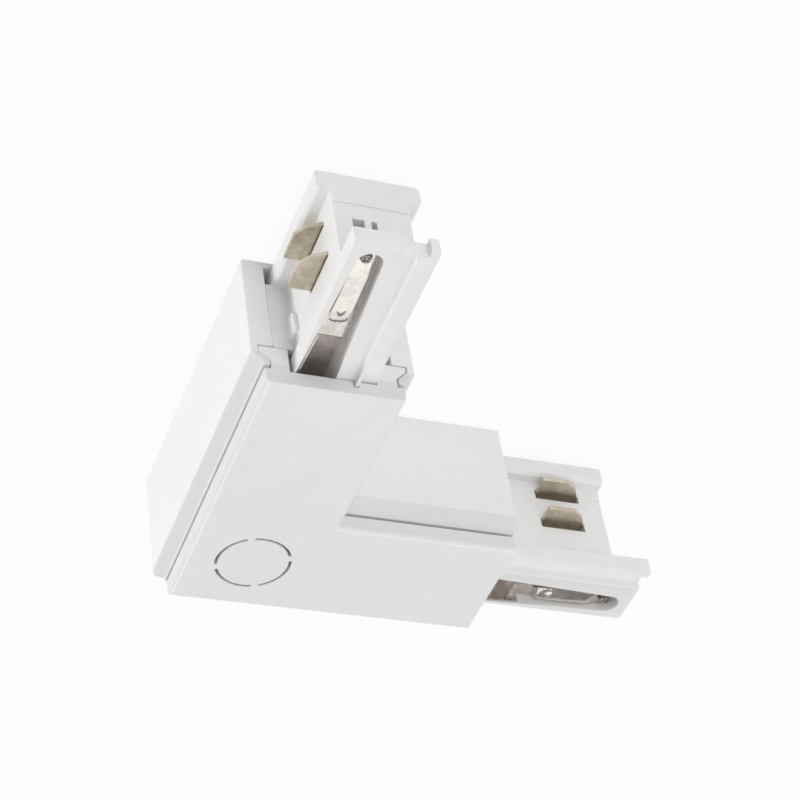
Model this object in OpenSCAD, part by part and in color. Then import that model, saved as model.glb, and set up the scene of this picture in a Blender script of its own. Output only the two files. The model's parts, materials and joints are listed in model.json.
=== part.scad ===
// Corner connector for a ceiling lighting power track with four conductors and earth.
// The origin is where the centre planes of the two legs cross, on the flat room face.
// +X runs along one leg, +Y along the other, and +Z points at the ceiling.

/* [Housing] */
// Width of each leg across its walls
leg_w = 36; // [35:0.5:40]
// Length of each leg from the outer corner to its end face
leg_l = 76; // [74:1:110]
// Height from the room face to the ceiling face
body_h = 34.5; // [33:0.5:37]
// Wall thickness of the cover
wall = 1.6; // [1.2:0.1:1.8]
// Depth of each end wall along the leg
end_wall = 5; // [4:0.5:7]
// Inward step of the cover's shoulder
shoulder = 2.4; // [1.8:0.1:2.6]
// Height of the upright lip under the shoulder
lip_h = 0.8; // [0.6:0.1:1.2]
// Shadow gap between the lip and the base
shadow_gap = 0.7; // [0.4:0.1:1]
// Radius of the upright outer corner
corner_r = 2.2; // [1.2:0.2:3]
// Chamfer along the edges of the room face
edge = 0.7; // [0.4:0.1:1]
// Half width of the mouth between the jambs of an end wall
mouth_half = 13; // [12.4:0.2:13.6]
// Drop from the shoulder to the top of the jambs
jamb_drop = 2.3; // [1.8:0.1:3]
// Thickness of the ribs inside the cover
rib_t = 1.4; // [1:0.1:2]

/* [Base] */
// Height of the base that shows under the shadow gap
base_h = 3.9; // [3.6:0.1:4.2]
// Thickness of the base plate
plate_t = 2.5; // [2:0.1:2.8]
// Bevel round the ceiling face
bevel = 0.8; // [0.4:0.1:1.2]
// Set-back of the base from the end face of the cover
set_back = 0.4; // [0.2:0.1:1]
// Diameter of the round break-out for the supply cable
breakout_d = 17.4; // [14:0.2:19]
// Width of the slot round the break-out
breakout_slot = 0.7; // [0.5:0.1:1]
// Width of each bridge that holds the break-out
bridge_w = 1.6; // [1:0.1:2.4]
// Room beside the near plate in the opening of an end wall
sill_gap = 0.7; // [0.3:0.1:1]
// Thickness of the tongue that centres the base in the cover
tongue_t = 1.4; // [1:0.1:1.8]
// Width of each snap hook
hook_w = 6; // [4:0.5:8]
// Length of each snap hook below the catch
hook_l = 3.4; // [3:0.2:4]
// Overhang of each snap hook's barb
barb = 0.8; // [0.6:0.1:1]
// Gap between the stack of carriers and the base plate
lid_gap = 1.4; // [1:0.1:1.6]

/* [Contact inserts] */
// Reach of the web and the far flange beyond the leg's end
web_reach = 29; // [26:0.5:34]
// Half width of the web outside the housing
web_half = 8.4; // [8:0.1:8.8]
// Half width of the carriers' core inside the housing
core_half = 7; // [6.8:0.1:7.4]
// Set-back of the web's upper part from its end
web_step = 0.3; // [0.1:0.1:0.8]
// Half width of the far flange
far_half = 11.6; // [10.5:0.1:12]
// Thickness of the far flange
far_t = 5.2; // [4:0.1:5.6]
// Chamfer along the edges of the far flange
far_edge = 0.8; // [0.4:0.1:1.2]
// Thickness of the near plate
near_t = 4.2; // [4:0.1:4.6]
// Reach of the near plate beyond the leg's end
near_reach = 37.5; // [35:0.5:46]
// Reach of the polarity flange beyond the near plate's end
flange_extra = 0.3; // [0:0.1:2]
// Drop of the polarity flange below the near plate's face
flange_drop = 0.2; // [0.1:0.1:1]
// Width of the polarity flange
flange_w = 4.1; // [3.6:0.1:4.2]
// Distance from the centre plane to the polarity rib
rib_u = 4.1; // [4:0.1:4.4]
// Thickness of the polarity rib
rib_w = 0.7; // [0.5:0.1:1]
// Height of the polarity rib above the near plate's face
rib_h = 1.6; // [1:0.1:1.8]
// Depth of the notch in the near plate's end, round the polarity rib
notch_l = 1.3; // [0.6:0.1:2]
// Width of that notch
notch_w = 4.9; // [4.5:0.1:5.5]
// Reach of the collar beyond the leg's end
collar_reach = 6; // [5:0.5:7]
// Step from the web out to the collar
collar_step = 1; // [0.6:0.1:1.1]
// Width of the arched boss along the leg
boss_w = 5; // [4:0.5:6]
// Drop from the near plate to the arched boss's round end
boss_drop = 9.8; // [9:0.2:11]
// Drop from the near plate to the arched boss's foot
boss_foot = 3.7; // [3:0.1:4.5]
// Thickness of the cheek that closes the mouth beside the web
cheek_t = 1.5; // [1.2:0.1:2]
// Set-back of the cheek from the leg's end
cheek_back = 0.7; // [0.4:0.1:1.5]
// Depth of the pockets in the web's end
pocket_l = 5; // [3:0.5:6]
// Height of the pockets in the web's end
pocket_h = 2.2; // [1.6:0.1:2.4]
// Diameter of the pegs that line the carriers up
peg_d = 2.2; // [1.8:0.1:2.4]
// Length of the pegs
peg_l = 2.4; // [2:0.1:2.6]

/* [Conductors] */
// Thickness of each conductor
strip_t = 1; // [0.8:0.1:1.1]
// Width of each conductor inside the carriers
strip_w = 3.6; // [3:0.1:3.8]
// Distance from the centre plane to a conductor's inner edge
strip_u = 2.4; // [2.2:0.1:2.6]
// Height of the lower seam above the far flange
low_layer = 3.1; // [2.8:0.1:3.4]
// Share of the height above the lower seam that the middle carrier takes
layer_share = 0.52; // [0.48:0.01:0.56]
// Distance from the leg's end to a blade's root
blade_start = 12; // [10:0.5:14]
// Length of a blade at its root
blade_l = 10.8; // [9:0.2:12]
// Length of a blade's outer edge
blade_edge = 6.6; // [5:0.2:7]
// Length from a blade's root to its blunt nose
blade_nose = 9.2; // [8:0.2:10]
// Reach of a blade out of the web
blade_out = 4.9; // [4.4:0.1:5.2]
// Height of the windows above a seam, where the blades come out
window_h = 1.5; // [1.3:0.1:1.8]

/* [Earth contact] */
// Depth of the spring slot under the near plate's face
slot_depth = 3.4; // [3:0.1:3.6]
// Distance from the centre plane to the middle of the slot
slot_u = 4.2; // [4.1:0.05:4.4]
// Half width of the slot at the leg's end
slot_root = 4.3; // [4:0.1:4.4]
// Half width of the slot at its round tip
slot_tip = 2.75; // [2.6:0.05:2.9]
// Wall between the slot and the near plate's outer side
slot_wall = 0.6; // [0.5:0.1:1]
// Wall between the slot's tip and the near plate's end
tip_wall = 2.7; // [2:0.1:3.5]
// Distance from the leg's end to the foot of the ramp in the slot
ramp_start = 6; // [5:0.5:8]
// Length of the ramp
ramp_run = 2.7; // [2.5:0.1:4]
// Height from the near plate's underside down to the floor of the trench
trench_drop = 1.7; // [1.4:0.1:2]
// Distance from the slot's middle to the spring's middle
spring_shift = 0.5; // [0.3:0.05:0.6]
// Length of the spring from its screw to the middle of its pad
spring_l = 14.8; // [14:0.2:16]
// Thickness of the leaf spring
spring_t = 0.45; // [0.4:0.05:0.5]
// Rise of the leaf above the spring's foot
spring_rise = 1.1; // [1:0.1:1.4]
// Length of the joggle that lifts the leaf
joggle = 3.4; // [3:0.2:5]
// Step along the leg between the folds of the pad's curl
curl = 1.2; // [1:0.1:1.6]
// Drop of the curl's end below the pad
curl_drop = 0.4; // [0.3:0.05:0.45]
// Diameter of the raised contact point on the pad
dimple_d = 1.8; // [1.2:0.1:2.4]
// Height of the raised contact point
dimple_h = 0.3; // [0.2:0.05:0.4]
// Half width of the pad
pad_half = 2.05; // [1.9:0.05:2.3]
// Half width of the spring at its screw
foot_half = 1.9; // [1.7:0.05:2]
// Thickness of the earth strip
earth_t = 0.4; // [0.35:0.05:0.5]
// How much narrower the earth strip is than the slot, on each side
earth_margin = 0.3; // [0.2:0.05:0.5]
// Reach of the earth strip's folded edge beyond the leg's end
fold_reach = 10; // [9.5:0.5:12]
// Drop from the near plate's face to the top of the folded edge
fold_drop = 0.4; // [0.2:0.1:1]
// Gap above and below the spring's foot
foot_gap = 0.25; // [0.2:0.05:0.35]
// Diameter of the spring screw's head
head_d = 2.8; // [2.6:0.1:3]
// Height of the spring screw's head
head_h = 0.9; // [0.7:0.1:1.1]
// Diameter of the spring screw's shank
shank_d = 1.6; // [1.4:0.1:1.6]
// Length of the spring screw's shank below the slot
shank_l = 3.4; // [2.8:0.1:4]
// Width of the boss under the near plate that the screw goes into
boss_d = 4.4; // [3.6:0.1:5]

/* [Feed terminals] */
// Reach of the open well in the corner that gives the supply wires room
well = 12; // [11:0.5:13]
// Distance between neighbouring terminals
way_pitch = 8; // [7.4:0.1:8.4]
// Width of a terminal clamp along the leg
clamp_w = 5.6; // [5.2:0.1:5.8]
// Depth of a terminal clamp across the leg
clamp_d = 4.4; // [4:0.1:4.4]
// Height of a terminal clamp
clamp_h = 6.8; // [6.4:0.1:7]
// Wall thickness of a terminal clamp
clamp_wall = 0.9; // [0.7:0.1:1]
// Wall thickness of a terminal block
block_wall = 0.9; // [0.7:0.1:1.1]
// Diameter of the clamp screws
clamp_screw_d = 2.4; // [2:0.1:2.6]
// Diameter of the clamp screws' heads
clamp_head_d = 4; // [3.4:0.1:4.2]
// Height of the clamp screws' heads
clamp_head_h = 1.5; // [1.2:0.1:1.8]
// Room above the clamp screws for a screwdriver's tip
driver_gap = 4.3; // [4:0.1:4.5]
// Diameter of the screw that holds the carriers
stack_screw_d = 2.5; // [2.2:0.1:2.8]
// Height of that screw's head
stack_head_h = 1.6; // [1.2:0.1:1.8]

/* [Fits] */
// Clearance between mouldings that slide together
fit = 0.2; // [0.15:0.05:0.25]

/* [Hidden] */
$fn = 48;

// Places along a leg
half = leg_w / 2;
leg_end = leg_l - half;
web_end = leg_end + web_reach;
near_end = leg_end + near_reach;
flange_end = near_end + flange_extra;
collar_end = leg_end + collar_reach;
screw_v = near_end - tip_wall - slot_tip;
ramp_foot = leg_end + ramp_start;
blade_v = leg_end + blade_start;
boss_v = leg_end + boss_w / 4;
// Ribs, hooks and pegs stand whole paces back from the leg's end
pace = (leg_l - leg_w) / 20;
peg_v = leg_end - 5 * pace;
insert_root = leg_end - end_wall - 2 * pace;
tail_v = well + 3 * pace;
// Heights, from the room face up
far_top = wall + far_t;
plate_under = body_h - plate_t;
stack_top = plate_under - lid_gap;
near_bottom = stack_top - near_t;
base_side_z = body_h - base_h;
lip_z = base_side_z - shadow_gap;
shoulder_z = lip_z - lip_h - shoulder;
jamb_z = shoulder_z - jamb_drop;
low_seam = far_top + low_layer;
high_seam = low_seam + layer_share * (near_bottom - low_seam);
sill_z = stack_top + fit;
slot_floor = stack_top - slot_depth;
trench_z = near_bottom - trench_drop;
screw_foot = wall + far_t / 4;
// Distances across a leg
void_half = half - wall;
neck_half = half - wall - shoulder;
base_half = half - shoulder - fit;
near_outer = slot_u + slot_root + slot_wall;
near_inner = rib_u + rib_w + flange_w;
spring_u = slot_u + spring_shift;
collar_half = web_half + collar_step;
band_far = strip_u + strip_w;
notch_u = rib_u + rib_w / 2;
// The inside of the shoulder turns inward this much lower than its outside, for an even wall
knee_z = shoulder_z - wall * tan(45 / 2);
// Overlap of shapes that join, and room past the outside for cuts that run through
over = 1;

// Terminals: places along leg X, distances across it, and heights
earth_way = well - 2 * way_pitch;
outer_low_way = well - way_pitch;
outer_high_way = well;
inner_low_way = well;
inner_high_way = well + way_pitch;
riser_u = core_half + strip_t;
clamp_u = near_outer + 1.5 * fit;
clamp_z = plate_under - driver_gap - clamp_head_h - clamp_h;
tab_z = clamp_z + clamp_wall + fit;
tab_w = clamp_w - 2 * clamp_wall - 2 * fit;
tab_end = clamp_u + clamp_d - clamp_wall;

// Both legs: the same shape along X and, mirrored on the diagonal, along Y
module both_legs() {
    children();
    mirror([1, -1, 0]) children();
}

// A profile run along leg X; levels lists its half width at each height
module leg_sweep(levels, reach) {
    last = len(levels) - 1;
    far_out = max([for (p = levels) p[0]]);
    section = concat(levels, [for (i = [last:-1:0]) [-levels[i][0], levels[i][1]]]);
    limit = concat([for (p = levels) [-p[0], p[1]]], [[reach, levels[last][1]], [reach, levels[0][1]]]);
    intersection() {
        rotate([90, 0, 90]) translate([0, 0, -far_out - over]) linear_extrude(far_out + over + reach)
            polygon(section);
        rotate([90, 0, 0]) translate([0, 0, -far_out - over]) linear_extrude(2 * (far_out + over))
            polygon(limit);
    }
}

// The same profile run round the corner along both legs
module l_sweep(levels, reach) {
    both_legs() leg_sweep(levels, reach);
}

// A flat band between two distances from the centre planes, run round the corner
module l_band(from_u, to_u, reach, z0, z1) {
    translate([0, 0, z0]) linear_extrude(z1 - z0) {
        translate([from_u, from_u]) square([reach - from_u, to_u - from_u]);
        translate([from_u, from_u]) square([to_u - from_u, reach - from_u]);
    }
}

// A box on leg X between two places, two distances across and two heights
module leg_box(v0, v1, u0, u1, z0, z1) {
    translate([v0, u0, z0]) cube([v1 - v0, u1 - u0, z1 - z0]);
}

// Puts a shape drawn for the inner side on the outer side, where side is -1
module on_side(side) {
    mirror([0, side < 0 ? 1 : 0, 0]) children();
}

// What rounds an upright outer corner
module corner_trim(side, r) {
    translate([-side, -side, -over]) linear_extrude(body_h + 2 * over) difference() {
        translate([-over, -over]) square(r + over);
        translate([r, r]) circle(r);
    }
}

module cover_shell() {
    outside = [[half - edge, 0], [half, edge], [half, shoulder_z], [half - shoulder, shoulder_z + shoulder],
        [half - shoulder, lip_z]];
    hollow = [[void_half, wall], [void_half, knee_z], [neck_half, knee_z + shoulder],
        [neck_half, lip_z + over]];
    color("white") {
        difference() {
            l_sweep(outside, leg_end);
            l_sweep(hollow, leg_end + over);
            corner_trim(half, corner_r);
        }
        both_legs() end_jambs();
        cover_ribs();
    }
}

// The two jambs of an end wall, with the mouth between them
module end_jambs() {
    for (side = [-1, 1]) {
        on_side(side) leg_box(leg_end - end_wall, leg_end, mouth_half, half - wall / 2, wall / 2, jamb_z);
    }
}

// Ribs that guide the far flange in the cover
module cover_ribs() {
    rib_top = body_h / 2;
    both_legs() {
        for (back = [13, 7]) {
            v = leg_end - back * pace;
            for (side = [-1, 1]) {
                on_side(side) leg_box(v, v + rib_t, far_half + fit, half - wall / 2, wall / 2, rib_top);
            }
        }
    }
}

module base_plate() {
    plate = [[base_half, base_side_z], [base_half - fit, body_h - bevel],
        [base_half - fit - bevel, body_h]];
    base_end = leg_end - set_back;
    rim = neck_half - fit - tongue_t;
    color("white") difference() {
        union() {
            difference() {
                l_sweep(plate, base_end);
                l_sweep([[rim, base_side_z - over], [rim, plate_under]], leg_end - end_wall);
            }
            tongue(base_end);
            both_legs() end_wall_of_base(base_end);
            both_legs() clamping_ribs();
            snap_hooks();
        }
        both_legs() sill_opening();
        breakout_cut();
        corner_trim(base_half, corner_r - shoulder / 2);
    }
}

// The upright tongue that stands inside the cover's lip
module tongue(base_end) {
    top = neck_half - fit;
    difference() {
        l_sweep([[top, shoulder_z + shoulder - 1], [top, base_side_z + over]], base_end);
        l_sweep([[top - tongue_t, shoulder_z], [top - tongue_t, body_h]], leg_end - end_wall);
    }
}

// The end wall closes the mouth of the cover from the ceiling side
module end_wall_of_base(base_end) {
    wide = void_half - fit;
    neck = neck_half - fit;
    knee = knee_z - fit / 2;
    top = base_side_z + over;
    profile = [[-wide, jamb_z + fit], [-wide, knee], [-neck, knee + wide - neck], [-neck, top],
        [neck, top], [neck, knee + wide - neck], [wide, knee], [wide, jamb_z + fit]];
    rotate([90, 0, 90]) translate([0, 0, leg_end - end_wall]) linear_extrude(base_end - leg_end + end_wall)
        polygon(profile);
}

// Opening in an end wall for the near plate, with a notch for the polarity rib
module sill_opening() {
    wall_start = leg_end - end_wall;
    beyond = leg_end + over;
    leg_box(wall_start - over, beyond, -near_outer - sill_gap, near_inner + fit, jamb_z - over, sill_z);
    leg_box(wall_start, beyond, rib_u - fit, rib_u + rib_w + fit, sill_z - over, stack_top + rib_h + fit);
}

// Ribs under the plate that hold the stack of carriers down
module clamping_ribs() {
    for (v = [tail_v, leg_end - 11 * pace, leg_end - 4 * pace]) {
        leg_box(v, v + rib_t, -near_outer, rib_u, stack_top, plate_under + over / 2);
    }
}

// Snap hooks catch under the cover's lip
module snap_hooks() {
    both_legs() {
        for (back = [16, 6]) {
            snap_hook(leg_end - back * pace, -1);
        }
        for (back = [14, 6]) {
            snap_hook(leg_end - back * pace, 1);
        }
    }
}

module snap_hook(v, side) {
    face = neck_half - fit;
    back = face - tongue_t;
    catch_z = knee_z + shoulder - fit;
    rotate([90, 0, 90]) translate([0, 0, v]) linear_extrude(hook_w)
        polygon([[side * back, catch_z - hook_l], [side * face, catch_z - hook_l],
            [side * (face + barb), catch_z - 2 * barb], [side * (face + barb), catch_z - barb],
            [side * face, catch_z], [side * face, base_side_z + over], [side * back, base_side_z + over]]);
}

// The slot round the break-out, with four bridges left
module breakout_cut() {
    outer = breakout_d / 2;
    translate([0, 0, plate_under - over]) linear_extrude(plate_t + 2 * over) difference() {
        circle(outer);
        circle(outer - breakout_slot);
        for (turn = [20, 110]) {
            rotate(turn) translate([-outer - over, -bridge_w / 2]) square([2 * (outer + over), bridge_w]);
        }
    }
}

// Recess for one band of conductors between two heights
module strip_recess(side, z0, z1) {
    near_u = side > 0 ? strip_u - fit / 2 : -band_far - fit / 2;
    l_band(near_u, near_u + strip_w + fit, blade_v + blade_l + 2 * over, z0, z1);
}

// Windows in the web's side that one conductor's blades and its terminal tab come out of
module side_windows(side, way, z0, z1) {
    reach = tab_w / 2 + fit;
    both_legs() on_side(side)
        leg_box(blade_v - fit, blade_v + blade_l + fit, band_far - over, web_half + over, z0, z1);
    on_side(side) leg_box(way - reach, way + reach, band_far - over, web_half + over, z0, z1);
}

// A peg that lines two carriers up, or the hole for it
module peg(z0, z1, d) {
    both_legs() translate([peg_v, 0, z0]) cylinder(h = z1 - z0, d = d);
}

// The core of a carrier inside the housing and its wider web outside
module web(reach, z0, z1) {
    l_sweep([[core_half, z0], [core_half, z1]], insert_root + over);
    both_legs() leg_box(insert_root, reach, -web_half, web_half, z0, z1);
}

// The collar that fills the inner side of the mouth
module collar(z0, z1) {
    both_legs() leg_box(insert_root, collar_end, 0, collar_half, z0, z1);
}

// The cheek that closes the outer side of the mouth beside the web
module cheek(z0, z1) {
    face = leg_end - cheek_back;
    both_legs() leg_box(face - cheek_t, face, fit - mouth_half, -web_half + over, z0, z1);
}

module room_side_carrier() {
    flange = [[far_half - far_edge, wall], [far_half, wall + far_edge], [far_half, far_top - far_edge],
        [far_half - far_edge, far_top]];
    color("whitesmoke") difference() {
        union() {
            l_sweep(flange, web_end);
            web(web_end, far_top - over, low_seam);
            cheek(far_top - over, low_seam);
        }
        strip_recess(1, low_seam - strip_t, low_seam + over);
        side_windows(1, inner_low_way, low_seam - strip_t, low_seam + over);
        peg(low_seam - peg_l - fit, low_seam + over, peg_d + fit);
        translate([0, 0, screw_foot]) cylinder(h = low_seam, d = stack_screw_d);
    }
}

// The arched boss on the outer side that centres the insert in the mouth, between two heights
module arched_boss(z0, z1) {
    r = boss_w / 2;
    foot = near_bottom - boss_foot;
    round_z = near_bottom - boss_drop + r;
    both_legs() intersection() {
        union() {
            translate([boss_v, -web_half + over, round_z]) rotate([90, 0, 0])
                cylinder(h = collar_step + over, r = r);
            leg_box(boss_v - r, boss_v + r, -collar_half, -web_half + over, round_z, foot);
        }
        leg_box(boss_v - boss_w, boss_v + boss_w, -half, 0, z0, z1);
    }
}

module middle_carrier() {
    color("white") difference() {
        union() {
            web(web_end - web_step, low_seam, high_seam);
            collar(low_seam, high_seam);
            cheek(low_seam, high_seam);
            arched_boss(low_seam, high_seam);
            peg(low_seam - peg_l, high_seam + peg_l, peg_d);
        }
        strip_recess(-1, low_seam - over, low_seam + strip_t);
        strip_recess(1, high_seam - strip_t, high_seam + over);
        side_windows(1, inner_high_way, high_seam - strip_t, high_seam + over);
        side_windows(-1, outer_low_way, low_seam - over, low_seam + window_h);
        side_windows(1, inner_low_way, low_seam - over, low_seam + window_h);
        both_legs() web_end_pockets();
        translate([0, 0, low_seam - over]) cylinder(h = high_seam, d = stack_screw_d + 2 * fit);
    }
}

// Two pockets in the web's end, side by side
module web_end_pockets() {
    foot = (low_seam + high_seam - pocket_h) / 2 + over;
    for (span = [[-strip_u - pocket_h, -strip_u + fit * 2], [-pocket_h / 4, pocket_h / 4 + fit]]) {
        leg_box(web_end - pocket_l, web_end + over, span[0], span[1], foot, foot + pocket_h);
    }
}

module ceiling_side_carrier() {
    color("white") difference() {
        union() {
            web(web_end - web_step, high_seam, near_bottom + over);
            collar(high_seam, near_bottom);
            cheek(high_seam, jamb_z - fit);
            arched_boss(high_seam, near_bottom);
            l_band(-near_outer, rib_u + over, near_end, near_bottom, stack_top);
            l_band(rib_u, near_inner, flange_end, near_bottom, stack_top - flange_drop);
            both_legs() polarity_rib();
            both_legs() screw_boss();
        }
        both_legs() end_notch();
        translate([-half, -half, trench_z]) cube([half + well, half + well, body_h]);
        both_legs() spring_slot();
        strip_recess(-1, high_seam - over, high_seam + strip_t);
        side_windows(-1, outer_high_way, high_seam - over, high_seam + window_h);
        side_windows(1, inner_high_way, high_seam - over, high_seam + window_h);
        peg(high_seam - over, high_seam + peg_l + fit, peg_d + fit);
        translate([0, 0, high_seam - over]) cylinder(h = body_h, d = stack_screw_d + 2 * fit);
    }
}

// The notch in the near plate's end, round the polarity rib
module end_notch() {
    side = notch_w / 2;
    leg_box(near_end - notch_l, flange_end + over, notch_u - side, notch_u + side, near_bottom - over,
        stack_top + rib_h + over);
}

// The rib that only lets the insert into the track one way round
module polarity_rib() {
    leg_box(leg_end - end_wall + fit, near_end - notch_l / 2, rib_u, rib_u + rib_w, near_bottom + over,
        stack_top + rib_h);
}

// The web's end reaches on under the near plate as a boss for the spring's screw
module screw_boss() {
    foot = slot_floor - shank_l - 2 * fit;
    root = web_end - web_step - over;
    translate([0, -spring_u, foot]) linear_extrude(near_bottom + over - foot) {
        translate([root, -boss_d / 2]) square([screw_v - root, boss_d]);
        translate([screw_v, 0]) circle(d = boss_d);
    }
}

// The wedge-shaped slot for the spring, with the ramp that the earth strip comes up
module spring_slot() {
    intersection() {
        translate([0, 0, trench_z - over]) linear_extrude(body_h) slot_outline(0);
        slot_side();
    }
    translate([screw_v, -spring_u, slot_floor - shank_l - fit]) cylinder(h = shank_l + over, d = shank_d);
}

// Everything above the slot's floor, seen from the side of the leg
module slot_side() {
    rotate([90, 0, 0]) translate([0, 0, -half]) linear_extrude(leg_w)
        polygon([[well - over, body_h], [well - over, trench_z], [ramp_foot, trench_z],
            [ramp_foot + ramp_run, slot_floor], [near_end, slot_floor], [near_end, body_h]]);
}

// Plan of the spring slot, drawn in by a margin
module slot_outline(margin) {
    root = slot_root - margin;
    tip = slot_tip - margin;
    translate([0, -slot_u]) {
        polygon([[well - over, -root], [leg_end, -root], [screw_v, -tip], [screw_v, tip], [leg_end, root],
            [well - over, root]]);
        translate([screw_v, 0]) circle(tip);
    }
}

// Plan of one contact blade on the inner side of leg X
module blade_outline() {
    root = strip_u + over - web_half;
    polygon([[0, root], [0, blade_out], [blade_edge, blade_out], [blade_nose, blade_out * 0.6],
        [blade_l, 0], [blade_l, root]]);
}

// One flat conductor with its underside at z0; side is -1 for the outer band and 1 for the inner one
module conductor(side, z0, way) {
    near_u = side > 0 ? strip_u : -band_far;
    color("darkkhaki") {
        l_band(near_u, near_u + strip_w, blade_v + blade_l, z0, z0 + strip_t);
        both_legs() on_side(side) translate([blade_v, web_half, z0]) linear_extrude(strip_t)
            blade_outline();
        terminal_tab(side, z0, way);
    }
}

// The tab that leaves a band, climbs the core's side and turns out into its clamp
module terminal_tab(side, z0, way) {
    v0 = way - tab_w / 2;
    v1 = way + tab_w / 2;
    on_side(side) {
        leg_box(v0, v1, band_far - over, riser_u, z0, z0 + strip_t);
        leg_box(v0, v1, core_half, riser_u, z0, tab_z + strip_t);
        leg_box(v0, v1, core_half, tab_end, tab_z, tab_z + strip_t);
    }
}

module outer_low_conductor() {
    conductor(-1, low_seam, outer_low_way);
}

module outer_high_conductor() {
    conductor(-1, high_seam, outer_high_way);
}

module inner_low_conductor() {
    conductor(1, low_seam - strip_t, inner_low_way);
}

module inner_high_conductor() {
    conductor(1, high_seam - strip_t, inner_high_way);
}

module earth_strip() {
    // On a ramp the upper face turns this much earlier than the lower one, for an even thickness
    lean = earth_t * tan(atan((slot_floor - trench_z) / ramp_run) / 2);
    strip_end = screw_v + foot_half;
    color("silver") difference() {
        union() {
            l_band(-slot_u - strip_w / 2, -slot_u + strip_w / 2, tail_v, trench_z, trench_z + earth_t);
            both_legs() intersection() {
                translate([0, 0, trench_z - over]) linear_extrude(body_h) slot_outline(earth_margin);
                rotate([90, 0, 0]) translate([0, 0, -half]) linear_extrude(leg_w)
                    polygon([[well + over, trench_z], [ramp_foot, trench_z],
                        [ramp_foot + ramp_run, slot_floor], [strip_end, slot_floor],
                        [strip_end, slot_floor + earth_t],
                        [ramp_foot + ramp_run - lean, slot_floor + earth_t],
                        [ramp_foot - lean, trench_z + earth_t], [well + over, trench_z + earth_t]]);
            }
            both_legs() earth_fold();
            earth_tab();
        }
        both_legs() translate([screw_v, -spring_u, slot_floor - over])
            cylinder(h = 2 * over + earth_t, d = shank_d + fit / 2);
    }
}

// The earth strip's outer edge, folded up against the slot's wall
module earth_fold() {
    intersection() {
        translate([0, 0, trench_z]) linear_extrude(stack_top - fold_drop - trench_z) difference() {
            slot_outline(earth_margin);
            slot_outline(earth_margin + earth_t);
        }
        slot_side();
        leg_box(leg_end - end_wall, leg_end + fold_reach, -half, -slot_u, 0, body_h);
    }
}

// The earth strip's own terminal tab steps down the core's side into its clamp
module earth_tab() {
    v0 = earth_way - tab_w / 2;
    v1 = earth_way + tab_w / 2;
    on_side(-1) {
        leg_box(v0, v1, slot_u, riser_u, trench_z, trench_z + earth_t);
        leg_box(v0, v1, riser_u - earth_t, riser_u, tab_z, trench_z + earth_t);
        leg_box(v0, v1, riser_u - earth_t, tab_end, tab_z, tab_z + earth_t);
    }
}

// The leaf spring: a foot under the screw, a joggle, a level leaf and a pad that curls down at its end
module earth_spring() {
    foot_z = slot_floor + earth_t + foot_gap;
    foot_start = screw_v + foot_half;
    foot_end = screw_v - head_d / 2 - foot_gap;
    pad_v = screw_v - spring_l;
    pad_z = foot_z + spring_rise;
    path = [[foot_start, foot_z], [foot_end, foot_z], [foot_end - joggle, pad_z], [pad_v, pad_z],
        [pad_v - curl, pad_z - curl_drop / 8], [pad_v - 2 * curl, pad_z - curl_drop]];
    last = len(path) - 1;
    back = [for (i = [last:-1:0]) [path[i][0], path[i][1] + spring_t]];
    color("silver") difference() {
        union() {
            intersection() {
                rotate([90, 0, 0]) translate([0, 0, -half]) linear_extrude(leg_w)
                    polygon(concat(path, back));
                translate([0, -spring_u, 0]) linear_extrude(body_h + over) spring_outline(pad_v);
            }
            pad_dimple(pad_v, pad_z + spring_t);
        }
        translate([screw_v, -spring_u, 0]) cylinder(h = body_h, d = shank_d + 2 * foot_gap);
    }
}

// Plan of the leaf spring, tapering from its pad to its foot
module spring_outline(pad_v) {
    polygon([[pad_v, -pad_half], [screw_v, -foot_half], [screw_v, foot_half], [pad_v, pad_half]]);
    translate([pad_v, 0]) circle(pad_half);
    translate([screw_v, 0]) circle(foot_half);
}

// The raised contact point on the pad, a shallow cap of a ball
module pad_dimple(pad_v, top) {
    r = (dimple_d * dimple_d / 4 + dimple_h * dimple_h) / (2 * dimple_h);
    intersection() {
        translate([pad_v, -spring_u, top + dimple_h - r]) sphere(r);
        translate([pad_v, -spring_u, top - spring_t / 2]) cylinder(h = spring_t + dimple_h, d = dimple_d);
    }
}

module leg_x_earth_spring() {
    earth_spring();
}

module leg_y_earth_spring() {
    mirror([1, -1, 0]) earth_spring();
}

// Cuts a cross recess into a screw head from a height up; reach and w are the arms' length and width
module cross_recess(z, reach, w, turn) {
    for (arm = [0, 90]) {
        translate([0, 0, z]) rotate(turn + arm) translate([-reach, -w / 2, 0]) cube([2 * reach, w, over]);
    }
}

// Small pan-head screw with a cross recess
module spring_screw() {
    head_z = slot_floor + earth_t + spring_t + 2 * foot_gap;
    color("silver") translate([screw_v, -spring_u, 0]) difference() {
        union() {
            translate([0, 0, head_z]) cylinder(h = head_h, d1 = head_d, d2 = head_d * 0.75);
            translate([0, 0, slot_floor - shank_l])
                cylinder(h = head_z - slot_floor + shank_l + head_h / 2, d = shank_d);
        }
        cross_recess(head_z + head_h / 2, head_d * 0.3, head_d / 6, 45);
    }
}

module leg_x_spring_screw() {
    spring_screw();
}

module leg_y_spring_screw() {
    mirror([1, -1, 0]) spring_screw();
}

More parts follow.
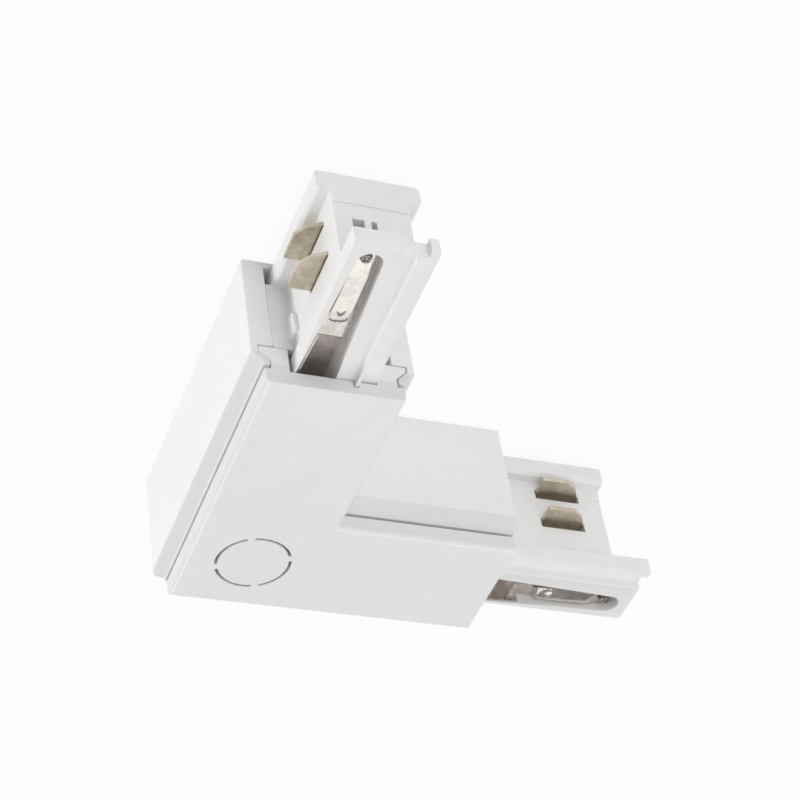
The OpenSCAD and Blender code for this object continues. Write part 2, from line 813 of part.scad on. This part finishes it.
// Terminal block for a row of clamps; ways lists their places, side is -1 outside and 1 inside
module terminal_block(ways, side) {
    inner_u = riser_u + 2 * fit;
    outer_u = clamp_u + clamp_d + block_wall;
    top = clamp_z + clamp_h - over;
    reach = (way_pitch - fit) / 2;
    bay = (clamp_w + fit) / 2;
    bay_back = clamp_u + clamp_d + fit / 2;
    first = ways[0] - reach;
    last = ways[len(ways) - 1] + reach;
    color("gainsboro") on_side(side) difference() {
        leg_box(first, last, inner_u, outer_u, far_top, top);
        for (way = ways) {
            leg_box(way - bay, way + bay, inner_u - over, bay_back, clamp_z, top + over);
            leg_box(way - clamp_w / 2, way + clamp_w / 2, inner_u + block_wall, outer_u - block_wall,
                far_top - over, clamp_z - 1.5 * block_wall);
        }
    }
}

module outer_terminal_block() {
    terminal_block([earth_way, outer_low_way, outer_high_way], -1);
}

module inner_terminal_block() {
    terminal_block([inner_low_way, inner_high_way], 1);
}

// A rising brass clamp: a box open along the wire, with a threaded top
module clamp(way, side) {
    v0 = way - clamp_w / 2;
    v1 = way + clamp_w / 2;
    back = clamp_u + clamp_d;
    roof = clamp_z + clamp_h - 1.5 * clamp_wall;
    color("goldenrod") on_side(side) difference() {
        leg_box(v0, v1, clamp_u, back, clamp_z, clamp_z + clamp_h);
        leg_box(v0 + clamp_wall, v1 - clamp_wall, clamp_u - over, back + over, clamp_z + clamp_wall, roof);
        translate([way, clamp_u + clamp_d / 2, clamp_z])
            cylinder(h = clamp_h + over, d = clamp_screw_d + fit / 2);
    }
}

module earth_clamp() {
    clamp(earth_way, -1);
}

module outer_low_clamp() {
    clamp(outer_low_way, -1);
}

module outer_high_clamp() {
    clamp(outer_high_way, -1);
}

module inner_low_clamp() {
    clamp(inner_low_way, 1);
}

module inner_high_clamp() {
    clamp(inner_high_way, 1);
}

// The five clamp screws with slotted heads
module terminal_screws() {
    places = [[earth_way, -1], [outer_low_way, -1], [outer_high_way, -1], [inner_low_way, 1],
        [inner_high_way, 1]];
    top = clamp_z + clamp_h;
    tip = (tab_z + strip_t + top) / 2 - over;
    groove = clamp_head_d / 6;
    color("silver") for (place = places) {
        translate([place[0], place[1] * (clamp_u + clamp_d / 2), 0]) difference() {
            union() {
                translate([0, 0, tip]) cylinder(h = top - tip + over / 2, d = clamp_screw_d);
                translate([0, 0, top]) cylinder(h = clamp_head_h, d = clamp_head_d);
            }
            translate([-clamp_head_d, -groove / 2, top + clamp_head_h / 2])
                cube([2 * clamp_head_d, groove, clamp_head_h]);
        }
    }
}

// The screw that holds the three carriers together at the corner
module carrier_screw() {
    color("silver") difference() {
        union() {
            translate([0, 0, screw_foot]) cylinder(h = trench_z - screw_foot + over / 2, d = stack_screw_d);
            translate([0, 0, trench_z]) cylinder(h = stack_head_h, d = 1.8 * stack_screw_d);
        }
        cross_recess(trench_z + stack_head_h / 2, stack_screw_d / 2, stack_screw_d / 4, 0);
    }
}

cover_shell();
base_plate();
room_side_carrier();
middle_carrier();
ceiling_side_carrier();
outer_low_conductor();
outer_high_conductor();
inner_low_conductor();
inner_high_conductor();
earth_strip();
leg_x_earth_spring();
leg_y_earth_spring();
leg_x_spring_screw();
leg_y_spring_screw();
outer_terminal_block();
inner_terminal_block();
earth_clamp();
outer_low_clamp();
outer_high_clamp();
inner_low_clamp();
inner_high_clamp();
terminal_screws();
carrier_screw();
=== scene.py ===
# %% [markdown]
# # Corner connector for a lighting track
# This lesson dresses a finished CAD model: an L-shaped white housing that joins two runs of ceiling track.
# The CAD model gives every piece its shape and place. Blender adds soft moulded edges, plastic, metal and light.
# One unit is a metre. The legs run along +X and +Y, and +Z points at the ceiling.

# %% Load the fixed frame
import json
import math

import bpy
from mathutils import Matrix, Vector


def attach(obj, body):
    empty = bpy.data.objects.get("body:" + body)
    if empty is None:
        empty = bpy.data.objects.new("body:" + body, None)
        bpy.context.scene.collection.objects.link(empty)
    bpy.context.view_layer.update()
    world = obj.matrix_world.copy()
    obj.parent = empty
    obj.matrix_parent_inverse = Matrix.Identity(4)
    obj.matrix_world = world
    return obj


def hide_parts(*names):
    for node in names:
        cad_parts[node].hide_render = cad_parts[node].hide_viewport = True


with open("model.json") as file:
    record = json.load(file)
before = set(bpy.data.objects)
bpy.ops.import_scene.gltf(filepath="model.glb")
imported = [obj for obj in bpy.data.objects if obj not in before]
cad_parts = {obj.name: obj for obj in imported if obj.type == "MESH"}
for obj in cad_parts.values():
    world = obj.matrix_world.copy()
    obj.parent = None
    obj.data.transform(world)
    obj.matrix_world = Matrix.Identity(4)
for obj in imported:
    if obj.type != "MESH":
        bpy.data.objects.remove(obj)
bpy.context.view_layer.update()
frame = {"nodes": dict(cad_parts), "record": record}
MM = 0.001


print("CAD pieces:", len(frame["nodes"]))

# %% [markdown]
# ## Shader maths
# A material is a net of small nodes, and sums are tedious to wire by hand. The class below wraps one output socket.
# Adding or multiplying two of them makes the Math node and its links, so a pattern reads as a formula.

# %% A socket that can be calculated with
class Wire:
    """One output of a node tree's node. Sums of wires make Math nodes."""

    def __init__(self, tree, socket=None):
        self.tree = tree
        self.socket = socket

    def node(self, kind, settings=None, inputs=None, out=0):
        made = self.tree.nodes.new(kind)
        for name, value in (settings or {}).items():
            setattr(made, name, value)
        for name, value in (inputs or {}).items():
            if isinstance(value, Wire):
                self.tree.links.new(value.socket, made.inputs[name])
            else:
                made.inputs[name].default_value = value
        return Wire(self.tree, made.outputs[out])

    def maths(self, operation, a, b):
        return self.node("ShaderNodeMath", {"operation": operation}, {0: a, 1: b})

    def __add__(self, other):
        return self.maths("ADD", self, other)

    __radd__ = __add__

    def __mul__(self, other):
        return self.maths("MULTIPLY", self, other)

    __rmul__ = __mul__

    def __sub__(self, other):
        return self.maths("SUBTRACT", self, other)

    def __rsub__(self, other):
        return self.maths("SUBTRACT", other, self)

    def noise(self, scale, detail=3.0, roughness=0.5):
        """Soft random spots, about 1 / scale metres wide."""
        return self.node("ShaderNodeTexNoise", None,
                         {"Vector": self, "Scale": scale, "Detail": detail, "Roughness": roughness})

    def steps(self, low, high):
        """0 below low, 1 above high and smooth between."""
        return self.node("ShaderNodeMapRange", {"interpolation_type": "SMOOTHSTEP"},
                         {"Value": self, "From Min": low, "From Max": high})

    def tint(self, dark, light):
        """Mixes two colours, with this wire as the factor."""
        return self.node("ShaderNodeMix", {"data_type": "RGBA"},
                         {0: self, 6: (*dark, 1), 7: (*light, 1)}, out=2)

    def over(self, below, colour):
        """Lays a colour over another wire's colour, with this wire as the factor."""
        return self.node("ShaderNodeMix", {"data_type": "RGBA"}, {0: self, 6: below, 7: (*colour, 1)}, out=2)

    def up(self):
        """The height in a place or a direction, its Z."""
        return self.node("ShaderNodeSeparateXYZ", None, {0: self}, out=2)

    def bump(self, depth, strength):
        """A dented surface from this wire as a height, depth metres at 1."""
        return self.node("ShaderNodeBump", None, {"Strength": strength, "Distance": depth, "Height": self})


def new_material(name):
    """An empty Principled material, its shader and the place on the object as a wire."""
    material = bpy.data.materials.new(name)
    material.use_nodes = True
    tree = material.node_tree
    shader = tree.nodes["Principled BSDF"]
    place = Wire(tree).node("ShaderNodeTexCoord", out=3)
    return material, shader, place


def feed(shader, name, wire):
    shader.id_data.links.new(wire.socket, shader.inputs[name])


print("shader maths ready")

# %% [markdown]
# ## Moulded plastic
# The housing is injection moulded in white polycarbonate. Its colour is nearly even, with a faint cloudiness where
# the melt flowed, and the steel mould leaves a fine spark-eroded grain. One flat colour would look like a drawing,
# so the colour varies by one or two percent, and a very fine bump breaks up the gloss. Both sides of the seam
# look darker than the faces round them because shade falls there, so the colour gets painted shade between two
# heights.

# %% Moulded plastics
# Sizes of the patterns, in spots per metre
CLOUDS, SMALL_CLOUDS, GLOSS_SPOTS, MOULD_GRAIN = 45.0, 320.0, 500.0, 7000.0
# Where a cloud's colour starts and is full
CLOUD_RANGE = (0.36, 0.64)
# The heights over which the band of painted shade comes and goes
BAND_COMES, BAND_GOES = 0.7 * MM, 0.4 * MM


def moulded_plastic(name, dark, light, gloss, grain_depth, painted_seam_shade=None):
    material, shader, place = new_material(name)
    clouds = 0.7 * place.noise(CLOUDS) + 0.3 * place.noise(SMALL_CLOUDS, 2.0)
    colour = clouds.steps(*CLOUD_RANGE).tint(dark, light)
    # Painted shade: between two heights beside the seam the colour is darker, standing in for the shade that falls
    # there
    if painted_seam_shade:
        foot, head, share = painted_seam_shade
        height = place.up()
        band = height.steps(foot, foot + BAND_COMES) - height.steps(head - BAND_GOES, head)
        colour = band.over(colour, tuple(share * part for part in dark))
    feed(shader, "Base Color", colour)
    feed(shader, "Roughness", gloss + 0.1 * place.noise(GLOSS_SPOTS, 2.0))
    feed(shader, "Normal", place.noise(MOULD_GRAIN, 2.0).bump(grain_depth, 0.25))
    shader.inputs["IOR"].default_value = 1.5
    return material


# The cover and the base get painted shade in a band beside the seam
HOUSING_WHITE = moulded_plastic("housing white", (0.805, 0.795, 0.805), (0.825, 0.815, 0.825), 0.36,
                                0.02 * MM, painted_seam_shade=(26.2 * MM, 31 * MM, 0.85))
BASE_WHITE = moulded_plastic("base white", (0.80, 0.793, 0.80), (0.82, 0.813, 0.82), 0.38,
                             0.02 * MM, painted_seam_shade=(29 * MM, 34.4 * MM, 0.90))
INSERT_WHITE = moulded_plastic("insert white", (0.79, 0.78, 0.77), (0.82, 0.81, 0.80), 0.34, 0.015 * MM)
TERMINAL_GREY = moulded_plastic("terminal grey", (0.60, 0.61, 0.62), (0.64, 0.65, 0.66), 0.45, 0.03 * MM)
print("plastics:", HOUSING_WHITE.name, BASE_WHITE.name, INSERT_WHITE.name, TERMINAL_GREY.name)

# %% [markdown]
# ## Metals
# The contact blades are stamped from tinned copper alloy, a dull grey gold with faint stains. The leaf springs
# are bright nickelled strip. Metal shows what is around it, so its colour stays plain, and uneven roughness with
# a fine bump does the work. The earth strip is duller low down, where it dives into the housing.

# %% Rolled and turned metals
# Sizes of the patterns, in spots per metre
STAINS, MARKS = 330.0, 900.0
STAIN_RANGE = (0.38, 0.62)
# What the marks and the dull part add to the roughness
UNEVEN, DULL = 0.16, 0.45
DULL_FADE = 0.5 * MM
MARK_DEPTH = 0.02 * MM


def rolled_metal(name, dark, light, gloss, dull_below=None):
    material, shader, place = new_material(name)
    marks = place.noise(MARKS, 3.0, 0.6)
    stains = place.noise(STAINS)
    feed(shader, "Base Color", (0.6 * stains + 0.4 * marks).steps(*STAIN_RANGE).tint(dark, light))
    rough = gloss + UNEVEN * marks
    if dull_below:
        rough = rough + DULL * (1.0 - place.up().steps(dull_below - DULL_FADE, dull_below))
    feed(shader, "Roughness", rough)
    feed(shader, "Normal", marks.bump(MARK_DEPTH, 0.2))
    shader.inputs["Metallic"].default_value = 1.0
    return material


CONTACT_METAL = rolled_metal("contact metal", (0.49, 0.435, 0.34), (0.63, 0.575, 0.47), 0.28)
SPRING_METAL = rolled_metal("spring metal", (0.72, 0.67, 0.63), (0.86, 0.82, 0.78), 0.08)
STRIP_METAL = rolled_metal("strip metal", (0.62, 0.57, 0.54), (0.78, 0.73, 0.70), 0.06, dull_below=27.4 * MM)
SCREW_STEEL = rolled_metal("screw steel", (0.30, 0.28, 0.26), (0.50, 0.47, 0.44), 0.20)
CLAMP_BRASS = rolled_metal("clamp brass", (0.62, 0.46, 0.20), (0.75, 0.58, 0.28), 0.28)
print("metals:", CONTACT_METAL.name, SPRING_METAL.name, STRIP_METAL.name, SCREW_STEEL.name, CLAMP_BRASS.name)

# %% [markdown]
# ## Which piece gets which finish
# A material belongs to the mesh's slots. Each CAD piece gets its finish now, the hidden ones too, and the dressed
# copies below take it over from the mesh that they copy.

# %% Give each CAD piece its finish
FINISHES = {
    HOUSING_WHITE: ["cover_shell"],
    BASE_WHITE: ["base_plate"],
    INSERT_WHITE: ["room_side_carrier", "middle_carrier", "ceiling_side_carrier"],
    CONTACT_METAL: ["outer_low_conductor", "outer_high_conductor", "inner_low_conductor",
                    "inner_high_conductor"],
    SPRING_METAL: ["leg_x_earth_spring", "leg_y_earth_spring"],
    STRIP_METAL: ["earth_strip"],
    SCREW_STEEL: ["leg_x_spring_screw", "leg_y_spring_screw", "terminal_screws", "carrier_screw"],
    TERMINAL_GREY: ["outer_terminal_block", "inner_terminal_block"],
    CLAMP_BRASS: ["earth_clamp", "outer_low_clamp", "outer_high_clamp", "inner_low_clamp", "inner_high_clamp"],
}
for finish, names in FINISHES.items():
    for name in names:
        piece = frame["nodes"][name]
        piece.data.materials.clear()
        piece.data.materials.append(finish)
    print(finish.name, "on", len(names), "pieces")

# %% [markdown]
# ## The leaf spring's pad
# The pad presses on the track, so it ends in a blunt, rounded tongue whose rim dips, and the track's edge slides
# over it. The CAD model folds this end in two flat steps. A subdivision surface would soften the whole leaf, so
# only the end is cut into small faces with Bisect, as with a knife, and their corners are moved along a curve.

# %% Cut the pad into small faces
# The pad's middle along the leg and across it, and the half widths of the pad and of its raised contact point
PAD_PLACE, PAD_SIDE, PAD_HALF, POINT_HALF = 75.25 * MM, -4.7 * MM, 2.05 * MM, 0.9 * MM
# Distances from the pad's middle at which the end is cut, towards the leg's root and to both sides
PAD_CUTS = [cut * MM for cut in (0.9, 1.5, 1.65, 1.75, 1.8, 1.86, 1.91, 1.96, 2.0)]
CROSS_CUTS = [cut * MM for cut in (-1.1, -0.75, -0.35, 0.0, 0.35, 0.75, 1.1)]
# The axis along the leaf and the one across it
SPRING_AXES = {"leg_x_earth_spring": (0, 1), "leg_y_earth_spring": (1, 0)}


def cut_across(axis, place):
    """Bisects the piece in edit mode by a plane square to an axis."""
    point, direction = [0.0, 0.0, 0.0], [0.0, 0.0, 0.0]
    point[axis], direction[axis] = place, 1.0
    bpy.ops.mesh.select_all(action="SELECT")
    bpy.ops.mesh.bisect(plane_co=point, plane_no=direction)


def cut_pad(along, across):
    for distance in PAD_CUTS:
        cut_across(along, PAD_PLACE - distance)
    for distance in CROSS_CUTS:
        cut_across(across, PAD_SIDE + distance)


print("pad cuts:", len(PAD_CUTS), "along and", len(CROSS_CUTS), "across")

# %% Draw the pad out to a tongue
# The CAD model's fold: where it gets steeper, how far it has dropped there, and its slope from there on
FOLD_PLACE, FOLD_DROP, FOLD_SLOPE = 1.2 * MM, 0.05 * MM, 0.35 / 1.2
# The tongue: its tip's distance from the pad's middle, where the rim starts to dip, and how deep
TONGUE_END, DIP_START, DIP = 3.35 * MM, 2.95 * MM, 0.3 * MM
# How blunt the tip is, how round the rim's inner edge is, and how it curves down
BLUNTNESS, RIM_ROUND, RIM_CURVE = 4, 0.12, 1.5
# Where the CAD model's pad has less half width than this, at its very tip, the width stays
NARROW = 0.05 * MM


def round_off_pad(piece, along, across):
    """Draws the folded end of the pad out to a blunt tongue that dips at its rim."""
    stretch = (TONGUE_END - PAD_HALF) / (PAD_HALF - POINT_HALF)
    for vertex in piece.data.vertices:
        ahead = PAD_PLACE - vertex.co[along]
        if ahead <= 0.0:
            continue
        side = vertex.co[across] - PAD_SIDE
        half = math.sqrt(max(PAD_HALF ** 2 - ahead ** 2, 0.0))
        reach = ahead + stretch * max(ahead - POINT_HALF, 0.0)
        if half > NARROW:
            blunt = max(1.0 - (reach / TONGUE_END) ** BLUNTNESS, 0.0) ** (1.0 / BLUNTNESS)
            side *= PAD_HALF * blunt / half
        fold = FOLD_DROP * min(ahead / FOLD_PLACE, 1.0) + FOLD_SLOPE * max(ahead - FOLD_PLACE, 0.0)
        share = (reach + RIM_ROUND * side * side / MM - DIP_START) / (TONGUE_END - DIP_START)
        vertex.co[along] = PAD_PLACE - reach
        vertex.co[across] = PAD_SIDE + side
        vertex.co.z += fold - DIP * min(max(share, 0.0), 1.0) ** RIM_CURVE


print("tongue's tip:", round(TONGUE_END / MM, 2), "mm from the pad's middle")

# %% [markdown]
# ## Soft edges
# No moulded edge is truly sharp: the melt doesn't fill the corner of the mould, and a stamped blade has a rolled
# edge on one side. A bright line along each edge is what makes plastic look real. The CAD solids have sharp edges,
# so each visible piece gets a dressed copy: its loose triangles are merged, flat faces are made whole again, and a
# Bevel modifier rounds every edge that is steeper than 30 degrees. Weighted normals keep the flats flat.
# A bevel that is wider than half the gap between two edges folds the face between them, and very short edges
# throw out spikes, so each piece has its own width, and the merging distance is larger where edges are short.

# %% A dressed copy of a CAD piece
BODIES = {node: body for body, nodes in frame["record"]["behaviour"]["bodies"].items() for node in nodes}
# Angles between faces, in degrees: flat enough to join, sharp enough to round, and smooth in shading
FLAT, SHARP, SMOOTH, SMOOTH_ON_SPRINGS = 0.5, 30, 40, 33


def dress(name, width, merge):
    source = frame["nodes"][name]
    piece = bpy.data.objects.new(name + "_soft", source.data.copy())
    bpy.context.collection.objects.link(piece)
    bpy.ops.object.select_all(action="DESELECT")
    bpy.context.view_layer.objects.active = piece
    piece.select_set(True)
    bpy.ops.mesh.customdata_custom_splitnormals_clear()
    bpy.ops.object.mode_set(mode="EDIT")
    bpy.ops.mesh.select_all(action="SELECT")
    bpy.ops.mesh.remove_doubles(threshold=merge)
    bpy.ops.mesh.dissolve_limited(angle_limit=math.radians(FLAT))
    smooth = SMOOTH
    if name in SPRING_AXES:
        smooth = SMOOTH_ON_SPRINGS
        cut_pad(*SPRING_AXES[name])
    bpy.ops.object.mode_set(mode="OBJECT")
    if name in SPRING_AXES:
        round_off_pad(piece, *SPRING_AXES[name])
    bevel = piece.modifiers.new("soft edges", "BEVEL")
    bevel.width = width
    bevel.segments = 3
    bevel.limit_method = "ANGLE"
    bevel.angle_limit = math.radians(SHARP)
    bevel.use_clamp_overlap = False
    bpy.ops.object.modifier_apply(modifier=bevel.name)
    bpy.ops.object.shade_smooth_by_angle(angle=math.radians(smooth))
    normals = piece.modifiers.new("flat faces", "WEIGHTED_NORMAL")
    normals.keep_sharp = True
    bpy.ops.object.modifier_apply(modifier=normals.name)
    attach(piece, BODIES[name])
    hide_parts(name)
    return piece


print("angles:", FLAT, SHARP, SMOOTH, SMOOTH_ON_SPRINGS)

# %% Dress the visible pieces
EDGE_WIDTHS = {
    "cover_shell": 0.3 * MM, "base_plate": 0.1 * MM,
    "room_side_carrier": 0.2 * MM, "middle_carrier": 0.12 * MM, "ceiling_side_carrier": 0.1 * MM,
    "outer_low_conductor": 0.15 * MM, "outer_high_conductor": 0.15 * MM,
    "inner_low_conductor": 0.15 * MM, "inner_high_conductor": 0.15 * MM,
    "leg_x_earth_spring": 0.02 * MM, "leg_y_earth_spring": 0.02 * MM,
    "leg_x_spring_screw": 0.06 * MM, "leg_y_spring_screw": 0.06 * MM,
}
# The usual merging distance, and larger ones for pieces with short edges
USUAL_MERGE = 0.002 * MM
MERGES = {"base_plate": 0.1 * MM, "leg_x_earth_spring": 0.02 * MM, "leg_y_earth_spring": 0.02 * MM}
for name, width in EDGE_WIDTHS.items():
    piece = dress(name, width, MERGES.get(name, USUAL_MERGE))
    print(piece.name, len(piece.data.polygons), "faces")

# %% [markdown]
# ## Floor and light
# The photo is a cut-out on pure white. The floor sends white to the camera and keeps a faint shadow. The studio is
# a white ceiling over grey walls, with soft boxes at three sides. The one at the left is small and low, so that it
# makes the outer wall the brightest face and only grazes the level ones. The metal shows where the white ceiling
# ends, bright in one leg and dark in the other, because each leg turns another part of the room to the camera.

# %% Floor
FLOOR_SIZE, FLOOR_DROP = 4.0, 0.2 * MM
# How much of the floor that a camera or a mirror sees is plain white; the rest shows the shadow
WHITENESS = 0.93
bpy.ops.object.select_all(action="DESELECT")
bpy.ops.mesh.primitive_plane_add(size=FLOOR_SIZE, location=(0.0, 0.0, -FLOOR_DROP))
floor = bpy.context.object
floor.name = "floor"
material, shader, place = new_material("white floor")
tree = material.node_tree
rays = Wire(tree).node("ShaderNodeLightPath")
seen = rays.maths("MAXIMUM", rays, Wire(tree, rays.socket.node.outputs["Is Glossy Ray"]))
shader.inputs["Base Color"].default_value = (0.8, 0.8, 0.8, 1)
shader.inputs["Roughness"].default_value = 0.9
white = rays.node("ShaderNodeEmission", None, {"Color": (1, 1, 1, 1), "Strength": 1.0})
blend = rays.node("ShaderNodeMixShader", None,
                  {0: seen * WHITENESS, 1: Wire(tree, shader.outputs[0]), 2: white})
tree.links.new(blend.socket, tree.nodes["Material Output"].inputs["Surface"])
floor.data.materials.append(material)
print("floor ready")

# %% World
WALLS, CEILING = (0.20, 0.20, 0.20), (1.1, 1.1, 1.1)
# The heights of a direction between which the walls turn into the ceiling; 1 is straight up
CEILING_EDGE = (0.60, 0.68)
world = bpy.data.worlds.new("studio")
bpy.context.scene.world = world
world.use_nodes = True
tree = world.node_tree
facing = Wire(tree).node("ShaderNodeTexCoord", out=0)
room = facing.up().steps(*CEILING_EDGE).tint(WALLS, CEILING)
tree.links.new(room.socket, tree.nodes["Background"].inputs["Color"])
print("studio ready: walls", WALLS[0], "ceiling", CEILING[0])

# %% Lamps
# Place in metres, size in metres and power in watts
LAMPS = {
    "left softbox": ((-0.88, -0.18, 0.11), 0.2, 4.1),
    "front softbox": ((0.1, 1.0, 0.35), 0.7, 3.5),
    "right softbox": ((1.0, 0.1, 0.4), 0.7, 3.2),
}
# The lamps aim at the middle of the connector
MIDDLE = (0.03, 0.03, 0.02)


def soft_lamp(name, place, aim, size, power):
    data = bpy.data.lights.new(name, "AREA")
    data.size = size
    data.energy = power
    lamp = bpy.data.objects.new(name, data)
    bpy.context.collection.objects.link(lamp)
    lamp.location = place
    lamp.rotation_euler = (Vector(aim) - Vector(place)).to_track_quat("-Z", "Y").to_euler()


for name, (place, size, power) in LAMPS.items():
    soft_lamp(name, place, MIDDLE, size, power)
    print(name, power, "W")

# %% [markdown]
# ## Camera
# The camera stands where the photographer's stood, found from the corners of the housing: a long lens from above,
# with the corner connector lying on its room face.

# %% Camera
LENS_MM = 99.76
CAMERA_PLACE = (-0.14248, 0.36475, 0.33472)
CAMERA_TURN = (-48.4666, -7.5210, 20.3414)
camera_data = bpy.data.cameras.new("camera")
camera_data.lens = LENS_MM
camera_data.clip_start = 0.01
camera = bpy.data.objects.new("camera", camera_data)
bpy.context.collection.objects.link(camera)
camera.location = CAMERA_PLACE
camera.rotation_euler = [math.radians(angle) for angle in CAMERA_TURN]
bpy.context.scene.camera = camera
bpy.context.scene.view_settings.view_transform = "Standard"
print("camera ready")
